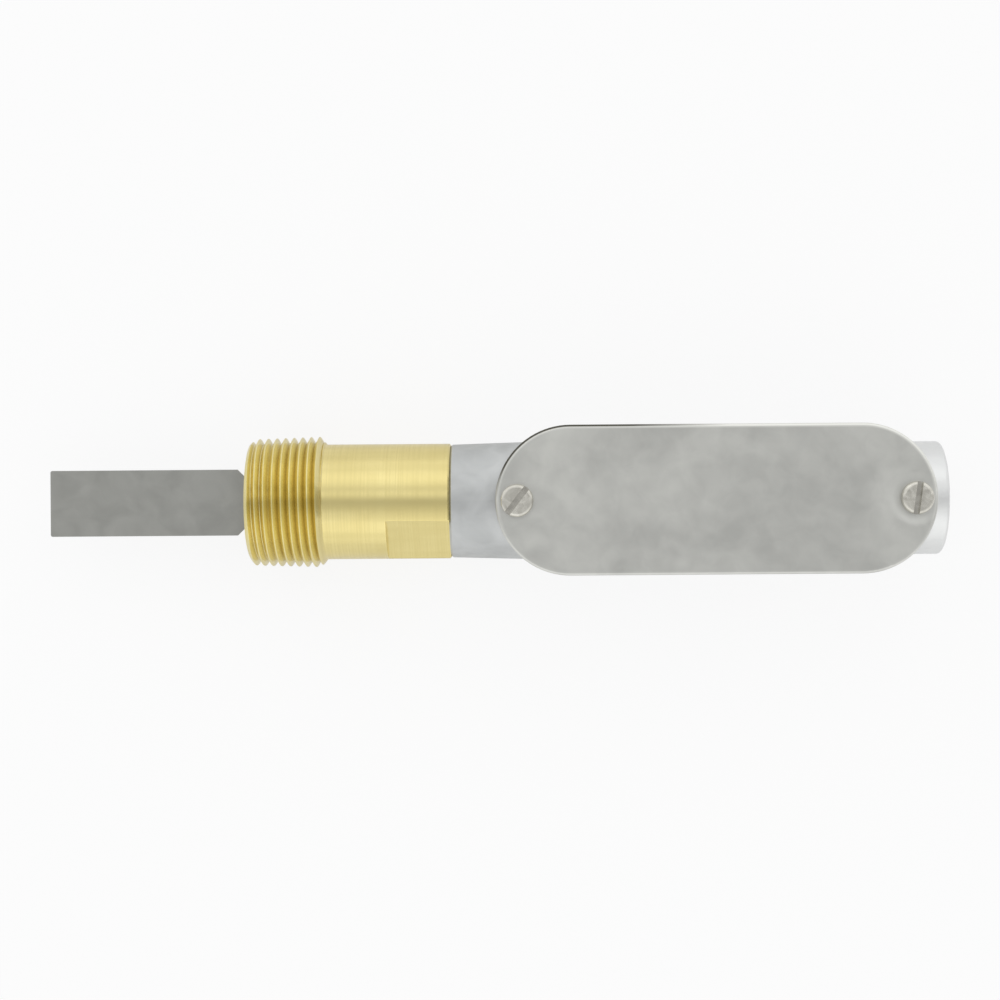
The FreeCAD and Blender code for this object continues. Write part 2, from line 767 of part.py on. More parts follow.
def switch_case():
    """The snap switch's moulded base, with barriers between its terminals."""
    case_y = (switch_lid_thickness - inner_wall_y, inner_wall_y)
    case = switch_half(case_y)
    for side in (-1, 1):
        middle = terminal_middle + side * terminal_pitch / 2
        rib_x = (middle - rib_thickness / 2, middle + rib_thickness / 2)
        case = case.fuse(block(rib_x, case_y, (switch_top - rib_root, switch_top + rib_height)))
    bore_depth = plunger_length - plunger_out + plunger_travel + seat_gap
    case = case.cut(rod(plunger_radius + pivot_gap, bore_depth, Vector(plunger_x, 0, switch_bottom), along_z))
    screw_depth = terminal_screw_length - terminal_thickness
    for x in terminal_places:
        case = case.cut(terminal_tab(x - terminal_length / 2, press_gap))
        case = case.cut(rod(m3_radius + press_gap, screw_depth, Vector(x, 0, switch_top), -along_z))
    return case


def switch_lid():
    return switch_half((-inner_wall_y, switch_lid_thickness - inner_wall_y))


def switch_plunger():
    start = Vector(plunger_x, 0, switch_bottom - plunger_out)
    plunger = rod(plunger_radius, plunger_length, start, along_z)
    tip = [edge for edge in plunger.Edges if edge.BoundBox.ZMax < start.z + touching]
    return plunger.makeChamfer(plunger_radius / 2, tip)


def terminal_tab(x, gap):
    """The leg of a terminal that goes down into the case, or its slot when it has a gap."""
    return block(
        (x - gap, x + terminal_thickness + gap),
        (-terminal_tab_width / 2 - gap, terminal_tab_width / 2 + gap),
        (switch_top - terminal_tab_drop, switch_top),
    )


def terminal(x):
    """A brass plate on the switch, with a screw hole and a leg at its left end."""
    left = x - terminal_length / 2
    right = x + terminal_length / 2
    plate = centred_block((left, right), terminal_width, (switch_top, switch_top + terminal_thickness))
    hole = rod(m3_radius + screw_gap, terminal_thickness, Vector(x, 0, switch_top), along_z)
    return plate.fuse(terminal_tab(left, 0)).cut(hole)


def terminal_screws():
    top = switch_top + terminal_thickness
    places = [Vector(x, 0, top) for x in terminal_places]
    screws = [
        m3_screw(terminal_screw_length, angle, place)
        for angle, place in zip(terminal_slot_angles, places)
    ]
    return Part.makeCompound(screws)


def switch_screws():
    """Two screws across the switch, with their heads on the lid."""
    length = switch_thickness + bracket_thickness + nut_height
    screws = []
    for x, z in switch_holes:
        screw = m3_screw(length, switch_slot_angle, Vector())
        screw.rotate(Vector(), along_x, 90)
        screw.translate(Vector(x, -inner_wall_y, z))
        screws.append(screw)
    return Part.makeCompound(screws)


def switch_nuts():
    """Two hexagon nuts on the switch screws, behind the bracket's wall."""
    nuts = []
    for x, z in switch_holes:
        place = Vector(x, outer_wall_y, z)
        corners = [place + corner for corner in upright_section(nut_across / math.sqrt(3), 6)]
        nut = extruded(corners, along_y * nut_height)
        nuts.append(nut.cut(rod(m3_radius + press_gap, nut_height, place, along_y)))
    return Part.makeCompound(nuts)


def bracket_screws():
    places = [Vector(x, 0, bracket_floor) for x in bracket_screw_places]
    screws = [
        m3_screw(bracket_screw_length, angle, place)
        for angle, place in zip(bracket_slot_angles, places)
    ]
    return Part.makeCompound(screws)


def ground_washer():
    place = Vector(ground_x, 0, ground_top)
    washer = rod(washer_radius, washer_thickness, place, along_z)
    return washer.cut(rod(ground_screw_radius + screw_gap, washer_thickness, place, along_z))


def ground_screw():
    place = Vector(ground_x, 0, ground_top + washer_thickness)
    head = small_head(ground_head_radius, ground_head_height)
    shank = (ground_screw_radius, ground_screw_length)
    return screw(shank, head, (m3_slot_width, m3_slot_depth), ground_slot_angle, place)


parts = {
    "process_body": process_body(),
    "hinge_yoke": hinge_yoke(),
    "pivot_pin": pivot_pin(),
    "vane_carrier": vane_carrier(),
    "vane": vane(),
    "vane_rivets": vane_rivets(),
    "vane_magnet": vane_magnet(),
    "return_spring": return_spring(),
    "housing": housing(),
    "cover_gasket": cover_gasket(),
    "cover_plate": cover_plate(),
    "cover_screws": cover_screws(),
    "lever_bracket": lever_bracket(),
    "lever_pin": lever_pin(),
    "lever_pin_clips": lever_pin_clips(),
    "magnet_lever": magnet_lever(),
    "lever_magnet": lever_magnet(),
    "switch_case": switch_case(),
    "switch_lid": switch_lid(),
    "switch_plunger": switch_plunger(),
    "terminal_common": terminal(terminal_places[0]),
    "terminal_normally_open": terminal(terminal_places[1]),
    "terminal_normally_closed": terminal(terminal_places[2]),
    "terminal_screws": terminal_screws(),
    "switch_screws": switch_screws(),
    "switch_nuts": switch_nuts(),
    "bracket_screws": bracket_screws(),
    "ground_washer": ground_washer(),
    "ground_screw": ground_screw(),
}

os.makedirs("parts", exist_ok=True)
for name, shape in parts.items():
    shape.exportStep(f"parts/{name}.step")
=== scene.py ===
import json
import math

import bmesh
import bpy
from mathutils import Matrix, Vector

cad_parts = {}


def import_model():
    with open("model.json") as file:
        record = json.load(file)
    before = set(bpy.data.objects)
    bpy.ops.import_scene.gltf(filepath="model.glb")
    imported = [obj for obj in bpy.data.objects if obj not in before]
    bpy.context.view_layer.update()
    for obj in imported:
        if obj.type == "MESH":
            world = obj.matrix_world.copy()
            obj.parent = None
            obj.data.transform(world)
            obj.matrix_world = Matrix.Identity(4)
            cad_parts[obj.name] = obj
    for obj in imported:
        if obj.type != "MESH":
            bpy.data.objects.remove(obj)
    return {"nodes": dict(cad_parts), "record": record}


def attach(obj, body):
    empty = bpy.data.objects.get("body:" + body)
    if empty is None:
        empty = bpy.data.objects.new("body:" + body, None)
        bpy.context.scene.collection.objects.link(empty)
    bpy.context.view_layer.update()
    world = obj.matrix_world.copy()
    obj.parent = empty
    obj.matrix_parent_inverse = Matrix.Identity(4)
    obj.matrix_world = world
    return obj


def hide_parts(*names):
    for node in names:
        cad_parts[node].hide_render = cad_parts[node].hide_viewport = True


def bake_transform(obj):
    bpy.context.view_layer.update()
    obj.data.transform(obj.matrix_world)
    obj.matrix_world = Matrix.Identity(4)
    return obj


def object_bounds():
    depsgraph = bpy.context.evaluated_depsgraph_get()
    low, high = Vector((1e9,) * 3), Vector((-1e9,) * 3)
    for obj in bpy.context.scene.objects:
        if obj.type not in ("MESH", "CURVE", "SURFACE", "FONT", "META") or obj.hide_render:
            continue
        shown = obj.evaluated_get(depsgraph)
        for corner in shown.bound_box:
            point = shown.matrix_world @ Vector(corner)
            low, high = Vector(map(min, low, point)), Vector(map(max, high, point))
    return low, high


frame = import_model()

# A paddle flow switch lying on its back, in the frame's own axes: X runs from the thread's end
# face towards the conduit entry, Y along the vane's pivot, and Z up out of the cover.
cad_bounds = [list(corner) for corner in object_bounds()]
nodes = frame["nodes"]
low, high = (Vector(corner) for corner in cad_bounds)
mm = 0.001

# ---- process connection, in millimetres along X and out from it
thread_pitch = 25.4 / 11.5
thread_half_angle = 30
thread_crest_flat = 0.17
thread_flank = (thread_pitch - thread_crest_flat) / 2
thread_softness = 0.09
thread_slope = 1 / 32
thread_crest = 16.3
thread_first_root = 1.1
thread_lead_radius = 15.1
thread_end = 17.78
thread_runout_slope = 1.2
thread_shoulder = 19.58
thread_steps = 24
body_radius = 14.8
body_length = 51.4
body_edge = 0.35
body_places = (24.0, 29.0)
body_turns = 288
body_crease = 32
weld_distance = 0.002
flat_start = 35.4
flat_step = 0.02
flat_places = (40.0, 45.0)
flat_height = 12.7
flat_angle = 50.0
nipple_radius = 10.4
nipple_end = 64.4
nipple_edge = 0.6
wet_bore = 11.2
wet_bore_edge = 0.3
wet_bore_depth = 26.0
dry_bore = 7.6
dry_bore_start = 29.5

# ---- return spring, in millimetres, coiled round the vane's pivot
pivot_x = 13.0
spring_wire = 0.3
spring_coil = 2.1
spring_pitch = 0.75
spring_turns = 4.5
spring_turn_steps = 28
spring_standing_leg = (7.0, 4.0, 2.0, 0.7)
spring_lying_end = 6.9
spring_lying_height = 2.08
spring_bend = 0.6
spring_bend_steps = 6
spring_roundness = 4
spring_crease = 50

# ---- cover and its screws, in millimetres: the places that their finishes, painted light and painted shade follow
cover_middle = 118.25
cover_straight = 36.35
cover_flat_end = 18.15
cover_edge_end = 18.4
cover_screws = (68.5, 168.0)
cover_dimples = (0.06, 0.2)
cover_dimple_span = (4.4, 7.2)
screw_crown = (19.42, 19.62)


# ---- process connection with its real right-hand thread
def crest_radius(x):
    return thread_crest + thread_slope * x


def thread_radius(x, turn):
    """Radius of the threaded length at a place along X, after that share of a turn from +Y."""
    phase = (x - thread_first_root) / thread_pitch - turn
    from_root = abs(phase - round(phase)) * thread_pitch
    rise = (from_root - thread_flank) / math.tan(math.radians(thread_half_angle))
    cut = -thread_softness * math.log1p(math.exp(-rise / thread_softness))
    lead = thread_lead_radius + x
    runout = crest_radius(thread_end) - (x - thread_end) * thread_runout_slope
    return max(min(crest_radius(x) + cut, lead, runout), body_radius)


def flat_radius(radius, turn):
    """The cylinder's radius where the two wrench flats are milled."""
    for middle in (flat_angle, flat_angle + 180):
        away = math.radians(360 * turn - 90 - middle)
        if math.cos(away) > 0:
            radius = min(radius, flat_height / math.cos(away))
    return radius


def turned_piece(name, stations, turns):
    """A closed skin: each station gives (x, radius) for every share of a turn."""
    verts = []
    faces = []
    across = len(stations)
    for turn in turns:
        side, up = math.cos(2 * math.pi * turn), math.sin(2 * math.pi * turn)
        for station in stations:
            x, radius = station(turn)
            verts.append((x * mm, radius * side * mm, radius * up * mm))
    for row in range(len(turns) - 1):
        for column in range(across - 1):
            first = row * across + column
            faces.append((first, first + across, first + across + 1, first + 1))
    mesh = bpy.data.meshes.new(name)
    mesh.from_pydata(verts, [], faces)
    skin = bmesh.new()
    skin.from_mesh(mesh)
    bmesh.ops.remove_doubles(skin, verts=skin.verts, dist=weld_distance * mm)
    bmesh.ops.recalc_face_normals(skin, faces=skin.faces)
    skin.to_mesh(mesh)
    skin.free()
    return shaded_piece(name, mesh, body_crease)


def shaded_piece(name, mesh, crease):
    """An object for a mesh, smooth but for the edges that turn by more than the crease angle."""
    mesh.shade_smooth()
    mesh.set_sharp_from_angle(angle=math.radians(crease))
    piece = bpy.data.objects.new(name, mesh)
    bpy.context.scene.collection.objects.link(piece)
    return piece


def fixed(x, radius):
    """A station with the same place and radius all the way round."""
    return lambda turn: (x, radius)


def helical(start):
    """A station that runs along the thread and stays within the threaded length."""

    def place(turn):
        x = min(max(start + thread_pitch * turn, 0.0), thread_shoulder)
        return x, thread_radius(x, turn)

    return place


def on_cylinder(x, radius):
    """A station on the plain cylinder, milled flat from where the wrench flats start."""
    if x < flat_start:
        return fixed(x, radius)
    return lambda turn: (x, flat_radius(radius, turn))


def process_connection():
    """Wetted bore, thread, cylinder with its two wrench flats, nipple and dry bore, in one skin."""
    stations = [
        fixed(wet_bore_depth, 0.0),
        fixed(wet_bore_depth, wet_bore),
        fixed(wet_bore_edge, wet_bore),
        fixed(0.0, wet_bore + wet_bore_edge),
    ]
    first = thread_first_root - 2 * thread_pitch
    count = int((thread_shoulder - first) / thread_pitch * thread_steps) + 2
    stations += [helical(first + thread_pitch * k / thread_steps) for k in range(count)]
    places = (*body_places, flat_start - flat_step, flat_start, *flat_places, body_length - body_edge)
    stations += [on_cylinder(x, body_radius) for x in places]
    stations += [
        on_cylinder(body_length, body_radius - body_edge),
        fixed(body_length, nipple_radius),
        fixed(nipple_end - nipple_edge, nipple_radius),
        fixed(nipple_end, nipple_radius - nipple_edge),
        fixed(nipple_end, dry_bore),
        fixed(dry_bore_start, dry_bore),
        fixed(dry_bore_start, 0.0),
    ]
    turns = {k / body_turns for k in range(body_turns + 1)}
    half_width = math.degrees(math.acos(flat_height / body_radius))
    for middle in (flat_angle + 90, flat_angle + 270):
        for edge in (middle - half_width, middle + half_width):
            turns.add((edge % 360) / 360)
    return turned_piece("process_body_threaded", stations, sorted(turns))


thread_body = process_connection()
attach(thread_body, "root")
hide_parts("process_body")


# ---- return spring: round wire with a standing leg and a leg lying on the vane's tongue
def spring_line():
    """The wire's middle: standing leg, coil round the pivot pin, then the leg on the tongue."""
    half = spring_turns * spring_pitch / 2
    line = [(pivot_x + spring_coil, -half, height) for height in spring_standing_leg]
    for step in range(int(spring_turns * spring_turn_steps) + 1):
        angle = 2 * math.pi * step / spring_turn_steps
        x = pivot_x + spring_coil * math.cos(angle)
        y = -half + spring_pitch * step / spring_turn_steps
        line.append((x, y, -spring_coil * math.sin(angle)))
    bend_x = pivot_x - spring_coil - spring_bend
    bend_z = spring_lying_height - spring_bend
    for step in range(spring_bend_steps + 1):
        angle = math.pi / 2 * step / spring_bend_steps
        x = bend_x + spring_bend * math.cos(angle)
        line.append((x, half, bend_z + spring_bend * math.sin(angle)))
    line.append((spring_lying_end, half, spring_lying_height))
    return line


def wire_piece(name, line, radius):
    """A round wire along a line, with flat ends."""
    curve = bpy.data.curves.new(name, "CURVE")
    curve.dimensions = "3D"
    curve.bevel_depth = radius * mm
    curve.bevel_resolution = spring_roundness
    curve.use_fill_caps = True
    spline = curve.splines.new("POLY")
    spline.points.add(len(line) - 1)
    for point, place in zip(spline.points, line):
        point.co = (place[0] * mm, place[1] * mm, place[2] * mm, 1)
    drawn = bpy.data.objects.new(name + "_line", curve)
    bpy.context.scene.collection.objects.link(drawn)
    bpy.context.view_layer.update()
    mesh = bpy.data.meshes.new_from_object(drawn)
    bpy.data.objects.remove(drawn)
    mesh.name = name
    mesh.materials.clear()
    return shaded_piece(name, mesh, spring_crease)


spring = wire_piece("return_spring_wire", spring_line(), spring_wire)
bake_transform(spring)
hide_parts("return_spring")


# ---- materials
class Shader:
    """A node material: a Principled BSDF, with helpers for textures in the object's own metres."""

    def __init__(self, name):
        self.material = bpy.data.materials.new(name)
        self.material.use_nodes = True
        self.tree = self.material.node_tree
        self.bsdf = self.tree.nodes["Principled BSDF"]
        self.place = self.node("ShaderNodeTexCoord").outputs["Object"]

    def node(self, kind, **settings):
        made = self.tree.nodes.new(kind)
        for key, value in settings.items():
            setattr(made, key, value)
        return made

    def join(self, output, socket):
        self.tree.links.new(output, socket)

    def colour(self, output):
        self.join(output, self.bsdf.inputs["Base Color"])

    def roughness(self, output):
        self.join(output, self.bsdf.inputs["Roughness"])

    def along(self, axis):
        """The place along one axis, in metres."""
        split = self.node("ShaderNodeSeparateXYZ")
        self.join(self.place, split.inputs[0])
        return split.outputs[axis]

    def math(self, operation, first, second=0.0):
        """A calculation on two values, each a float or an output."""
        made = self.node("ShaderNodeMath", operation=operation)
        for socket, value in zip(made.inputs, (first, second)):
            if isinstance(value, float):
                socket.default_value = value
            else:
                self.join(value, socket)
        return made.outputs[0]

    def plus(self, first, second):
        return self.math("ADD", first, second)

    def minus(self, first, second):
        return self.math("SUBTRACT", first, second)

    def times(self, first, second):
        return self.math("MULTIPLY", first, second)

    def span(self, across, along):
        """The length of two distances at right angles."""
        squares = [self.math("POWER", distance, 2.0) for distance in (across, along)]
        return self.math("SQRT", self.plus(*squares))

    def noise(self, scale, detail=3, stretch=(1, 1, 1), distortion=0):
        """Noise over the place, scaled by its own factor on each axis."""
        scaled = self.node("ShaderNodeMapping")
        scaled.inputs["Scale"].default_value = stretch
        self.join(self.place, scaled.inputs["Vector"])
        made = self.node("ShaderNodeTexNoise")
        made.inputs["Scale"].default_value = scale
        made.inputs["Detail"].default_value = detail
        made.inputs["Distortion"].default_value = distortion
        self.join(scaled.outputs["Vector"], made.inputs["Vector"])
        return made.outputs["Fac"]

    def between(self, value, source, target=(0, 1), **settings):
        """A value taken from one range to another, and held at the ends."""
        made = self.node("ShaderNodeMapRange", **settings)
        made.inputs["From Min"].default_value, made.inputs["From Max"].default_value = source
        made.inputs["To Min"].default_value, made.inputs["To Max"].default_value = target
        self.join(value, made.inputs["Value"])
        return made.outputs["Result"]

    def soft_rise(self, value, start, end):
        """From 0 at the start to 1 at the end, level at both."""
        return self.between(value, (start, end), interpolation_type="SMOOTHSTEP")

    def blend(self, factor, first, second):
        """A colour between two, each a tuple or an output."""
        made = self.node("ShaderNodeMix", data_type="RGBA")
        self.join(factor, made.inputs["Factor"])
        for socket, colour in (("A", first), ("B", second)):
            target = [i for i in made.inputs if i.name == socket and i.type == "RGBA"][0]
            if isinstance(colour, tuple):
                target.default_value = (*colour, 1)
            else:
                self.join(colour, target)
        return [o for o in made.outputs if o.type == "RGBA"][0]

    def bump(self, height, distance):
        """Adds a bump on top of the ones made before."""
        made = self.node("ShaderNodeBump")
        made.inputs["Distance"].default_value = distance
        made.inputs["Strength"].default_value = 1.0
        self.join(height, made.inputs["Height"])
        normal = self.bsdf.inputs["Normal"]
        if normal.links:
            self.join(normal.links[0].from_socket, made.inputs["Normal"])
        self.join(made.outputs["Normal"], normal)

    def metal(self):
        self.bsdf.inputs["Metallic"].default_value = 1.0
        return self.material


# The spans of a noise's values that carry a finish from one end to the other
wide_span = (0.3, 0.7)
tight_span = (0.35, 0.65)


def cloudy_metal(name, colours, roughness, cloud, grain, grain_depth, stretch=(1, 1, 1)):
    """Metal whose colour and gloss drift in soft clouds, with a fine grain in the surface."""
    shader = Shader(name)
    clouds = shader.noise(cloud, detail=4, distortion=0.6)
    shader.colour(shader.blend(shader.between(clouds, wide_span), *colours))
    shader.roughness(shader.between(clouds, wide_span, roughness))
    shader.bump(shader.noise(grain, detail=4, stretch=stretch), grain_depth * mm)
    return shader.metal()


def turned_stains(shader):
    """Soft stains, a little longer along the X axis."""
    return shader.between(shader.noise(90, detail=4, stretch=(0.6, 1, 1), distortion=0.8), (0.3, 0.75))


def turned_rings(shader, scale):
    """Fine rings round the X axis, as a lathe leaves them."""
    return shader.noise(scale, detail=2, stretch=(1, 0.01, 0.01))


def turned_metal(name, colours, roughness, ring, ring_depth):
    """Metal turned about the X axis: fine rings across it and soft stains along it."""
    shader = Shader(name)
    rings = turned_rings(shader, ring)
    shader.colour(shader.blend(turned_stains(shader), *colours))
    shader.roughness(shader.between(rings, wide_span, roughness))
    shader.bump(rings, ring_depth * mm)
    return shader.metal()


def thread_depth(shader):
    """How far a place lies outside the cone of the thread's crests, in metres."""
    out = shader.span(shader.along(1), shader.along(2))
    past_end_crest = shader.minus(out, thread_crest * mm)
    return shader.minus(past_end_crest, shader.times(shader.along(0), thread_slope))


def machined_brass():
    """Turned brass, painted a paler gold where it is threaded to offset the light that bounces between
    the thread's flanks, with painted shade towards the thread's root.
    """
    shader = Shader("machined_brass")
    stains = turned_stains(shader)
    streaks = shader.between(shader.noise(420, stretch=(0.03, 1, 1)), tight_span)
    rings = turned_rings(shader, 2600)
    plain = shader.blend(stains, (0.80, 0.68, 0.30), (0.89, 0.77, 0.365))
    plain = shader.blend(shader.times(streaks, 0.35), plain, (0.74, 0.62, 0.26))
    plain = shader.blend(shader.between(rings, tight_span, (0, 0.4)), plain, (0.73, 0.61, 0.26))
    # A paler gold painted on the threaded length, set against the light that bounces between the
    # thread's flanks
    painted_thread_tone = shader.blend(stains, (0.81, 0.71, 0.345), (0.89, 0.785, 0.405))
    # Painted shade, darker towards the thread's root
    painted_root_shade = shader.between(thread_depth(shader), (-1.7 * mm, -0.8 * mm), (0.55, 0))
    painted_thread_tone = shader.blend(painted_root_shade, painted_thread_tone, (0.56, 0.45, 0.19))
    threaded = shader.between(shader.along(0), (thread_end * mm, thread_shoulder * mm), (1, 0))
    shader.colour(shader.blend(threaded, plain, painted_thread_tone))
    shader.roughness(shader.between(rings, wide_span, (0.17, 0.26)))
    shader.bump(rings, 0.002 * mm)
    return shader.metal()


def cast_aluminium():
    """Fine-grained cast metal, with painted light that makes it paler towards the conduit entry, where
    it is also glossier.
    """
    shader = Shader("cast_aluminium_skin")
    clouds = shader.between(shader.noise(120, detail=4, distortion=0.6), wide_span)
    grey = shader.blend(clouds, (0.515, 0.525, 0.52), (0.63, 0.64, 0.635))
    painted_lit_grey = shader.blend(clouds, (0.78, 0.785, 0.78), (0.84, 0.845, 0.83))
    # Painted light: the cast metal grows paler towards the conduit entry, as if lit more strongly from
    # that side
    painted_entry_light = shader.between(shader.along(0), (60 * mm, 170 * mm))
    shader.colour(shader.blend(painted_entry_light, grey, painted_lit_grey))
    shader.roughness(shader.between(painted_entry_light, (0, 1), (0.50, 0.34)))
    shader.bump(shader.noise(1100, detail=4), 0.02 * mm)
    return shader.metal()


def cover_reach(shader, x, y):
    """How far out a place on the cover lies from the line between its two round ends' middles."""
    from_middle = shader.math("ABSOLUTE", shader.minus(x, cover_middle * mm))
    past_straight = shader.math("MAXIMUM", shader.minus(from_middle, cover_straight * mm), 0.0)
    return shader.span(past_straight, y)


def painted_dimple_reflection(shader, x, y):
    """A painted reflection: the bright arc on the thread's side of the far screw, where its dimple
    rises to the flat.
    """
    from_screw = shader.minus(x, cover_screws[1] * mm)
    ring = shader.span(from_screw, y)
    fading = shader.between(ring, (6.1 * mm, 7.6 * mm), (1, 0))
    reflected_arc = shader.times(shader.soft_rise(ring, 4.9 * mm, 6.1 * mm), fading)
    slanted = shader.plus(from_screw, shader.times(y, 0.5))
    return shader.times(reflected_arc, shader.between(slanted, (-1 * mm, -5 * mm), (0, 0.2)))


def painted_rim_highlight(shader, reach, y):
    """A painted highlight: the light line along the edge of the flat, stronger on the +Y side."""
    rim = shader.between(reach, ((cover_flat_end - 0.5) * mm, cover_flat_end * mm))
    return shader.times(rim, shader.between(y, (-12 * mm, 12 * mm), (0.15, 1)))


def painted_shade_edge(shader, reach, x, y):
    """The sheet's outermost edge, with painted shade at the corner towards +Y and the thread."""
    edge = shader.between(reach, (cover_flat_end * mm, cover_edge_end * mm))
    slant = shader.times(shader.minus(x, cover_middle * mm), -0.25)
    corner = shader.plus(shader.times(y, 0.8), slant)
    return shader.times(edge, shader.between(corner, (14 * mm, 20 * mm), (0, 0.95)))


def cover_sheet():
    """Satin sheet with cloudy stains, pulled in a little at its screws; a painted reflection by the
    far screw, a painted rim highlight and painted shade on one corner of its edge.
    """
    shader = Shader("cover_sheet")
    x, y = shader.along(0), shader.along(1)
    reach = cover_reach(shader, x, y)
    mottle = shader.noise(190, detail=4, distortion=0.5)
    clouds = shader.noise(42, detail=5, distortion=0.9)
    clouds = shader.plus(shader.times(clouds, 0.65), shader.times(mottle, 0.35))
    satin_and_painted_light = shader.blend(shader.between(clouds, tight_span), (0.56, 0.56, 0.53), (0.695, 0.695, 0.655))
    # Painted reflection of the far screw's dimple, in a pale colour
    satin_and_painted_light = shader.blend(painted_dimple_reflection(shader, x, y), satin_and_painted_light, (0.86, 0.86, 0.82))
    # Painted highlight along the rim of the flat
    satin_and_painted_light = shader.blend(painted_rim_highlight(shader, reach, y), satin_and_painted_light, (0.84, 0.84, 0.79))
    # Painted shade, nearly black, on the outermost edge at the corner towards +Y and the thread
    shader.colour(shader.blend(painted_shade_edge(shader, reach, x, y), satin_and_painted_light, (0.05, 0.045, 0.03)))
    shader.roughness(shader.between(clouds, wide_span, (0.28, 0.37)))
    shader.bump(shader.noise(2200, detail=4, stretch=(0.1, 1, 1)), 0.003 * mm)
    start, end = cover_dimple_span
    for screw, depth in zip(cover_screws, cover_dimples):
        away = shader.span(shader.minus(x, screw * mm), y)
        shader.bump(shader.soft_rise(away, start * mm, end * mm), depth * mm)
    return shader.metal()


def nickel_screw():
    """Nickel plate, with painted shade below the head's crown and in the slot."""
    shader = Shader("nickel_plate")
    clouds = shader.between(shader.noise(420, distortion=0.8), tight_span)
    bright = shader.blend(clouds, (0.61, 0.59, 0.53), (0.76, 0.74, 0.67))
    start, end = screw_crown
    # Painted shade: darker below the head's crown, on its side and in the slot
    painted_slot_shade = shader.between(shader.along(2), (start * mm, end * mm), (0.36, 0))
    shader.colour(shader.blend(painted_slot_shade, bright, (0.16, 0.15, 0.13)))
    shader.roughness(shader.between(clouds, (0, 1), (0.16, 0.28)))
    shader.bump(shader.noise(1800, detail=4), 0.008 * mm)
    return shader.metal()


def moulded_plastic(name, colour, roughness):
    """Plastic with a fine moulded texture and a faint mottle."""
    shader = Shader(name)
    mottle = shader.noise(700)
    paler = tuple(min(1.0, c * 1.35 + 0.01) for c in colour)
    shader.colour(shader.blend(mottle, colour, paler))
    shader.roughness(shader.between(mottle, wide_span, roughness))
    shader.bump(shader.noise(2600, detail=2), 0.02 * mm)
    return shader.material


def rubber(name, colour):
    """Matt rubber sheet with a fine speckle."""
    shader = Shader(name)
    speckle = shader.noise(1400)
    paler = tuple(c * 1.6 for c in colour)
    shader.colour(shader.blend(speckle, colour, paler))
    shader.bump(speckle, 0.05 * mm)
    shader.bsdf.inputs["Roughness"].default_value = 0.75
    return shader.material


finishes = {
    "process_brass": machined_brass(),
    "vane_steel": cloudy_metal(
        "vane_plate",
        colours=((0.355, 0.355, 0.332), (0.42, 0.42, 0.394)),
        roughness=(0.42, 0.5),
        cloud=140,
        grain=1600,
        grain_depth=0.01,
        stretch=(0.15, 1, 1),
    ),
    "stainless": turned_metal(
        "turned_stainless",
        colours=((0.52, 0.52, 0.5), (0.62, 0.62, 0.6)),
        roughness=(0.22, 0.35),
        ring=3000,
        ring_depth=0.003,
    ),
    "spring_steel": cloudy_metal(
        "spring_wire",
        colours=((0.42, 0.42, 0.43), (0.55, 0.55, 0.56)),
        roughness=(0.25, 0.35),
        cloud=600,
        grain=3000,
        grain_depth=0.004,
    ),
    "magnet_ferrite": cloudy_metal(
        "ground_ferrite",
        colours=((0.05, 0.05, 0.055), (0.09, 0.09, 0.095)),
        roughness=(0.5, 0.65),
        cloud=500,
        grain=2500,
        grain_depth=0.02,
    ),
    "cast_aluminium": cast_aluminium(),
    "gasket_rubber": rubber("gasket_rubber_sheet", (0.09, 0.085, 0.06)),
    "cover_steel": cover_sheet(),
    "screw_nickel": nickel_screw(),
    "zinc_steel": cloudy_metal(
        "zinc_plate",
        colours=((0.56, 0.58, 0.60), (0.70, 0.72, 0.74)),
        roughness=(0.25, 0.38),
        cloud=260,
        grain=1800,
        grain_depth=0.008,
    ),
    "lever_brass": cloudy_metal(
        "stamped_lever_brass",
        colours=((0.64, 0.47, 0.18), (0.74, 0.58, 0.25)),
        roughness=(0.28, 0.38),
        cloud=300,
        grain=1800,
        grain_depth=0.008,
    ),
    "terminal_brass": cloudy_metal(
        "stamped_terminal_brass",
        colours=((0.70, 0.55, 0.24), (0.80, 0.66, 0.32)),
        roughness=(0.24, 0.34),
        cloud=400,
        grain=1800,
        grain_depth=0.008,
    ),
    "switch_case_plastic": moulded_plastic("black_phenolic", (0.018, 0.018, 0.019), (0.38, 0.5)),
    "switch_lid_plastic": moulded_plastic("dark_phenolic", (0.035, 0.034, 0.036), (0.4, 0.52)),
    "plunger_plastic": moulded_plastic("red_plastic", (0.42, 0.03, 0.02), (0.3, 0.4)),
    "ground_green": cloudy_metal(
        "green_zinc",
        colours=((0.03, 0.20, 0.08), (0.06, 0.30, 0.13)),
        roughness=(0.25, 0.38),
        cloud=400,
        grain=1800,
        grain_depth=0.008,
    ),
}

for part in frame["record"]["subparts"]:
    node = nodes[part["node"]]
    node.data.materials.clear()
    node.data.materials.append(finishes[part["material_slot"]])
thread_body.data.materials.append(finishes["process_brass"])
spring.data.materials.append(finishes["spring_steel"])


# ---- stage: floor, world, lamps and camera, in metres
# Each band gives a direction's lean, from -Y at -1 to +Y at 1, and its share of the studio's light
studio_light = 1.06
studio_tint = (0.99, 0.995, 1.0)
studio_bands = (
    (-1.0, 0.94),
    (-0.65, 0.99),
    (-0.4, 0.80),
    (-0.22, 0.66),
    (-0.08, 0.55),
    (0.04, 0.53),
    (0.24, 0.96),
    (0.33, 0.90),
    (0.43, 0.72),
    (0.52, 0.94),
    (0.75, 1.0),
    (1.0, 0.94),
)
floor_lengths = 20
floor_colour = (0.93, 0.93, 0.93)
floor_white = (("Is Camera Ray", 0.85), ("Is Glossy Ray", 0.25), ("Is Transmission Ray", 0.25))
backdrop_white = (0.97, 0.97, 0.97)
softboxes = (("upper_softbox", 0.55, 0.5), ("lower_softbox", -0.6, 0.45))
softbox_size = (0.9, 0.3)
softbox_power = 0.08
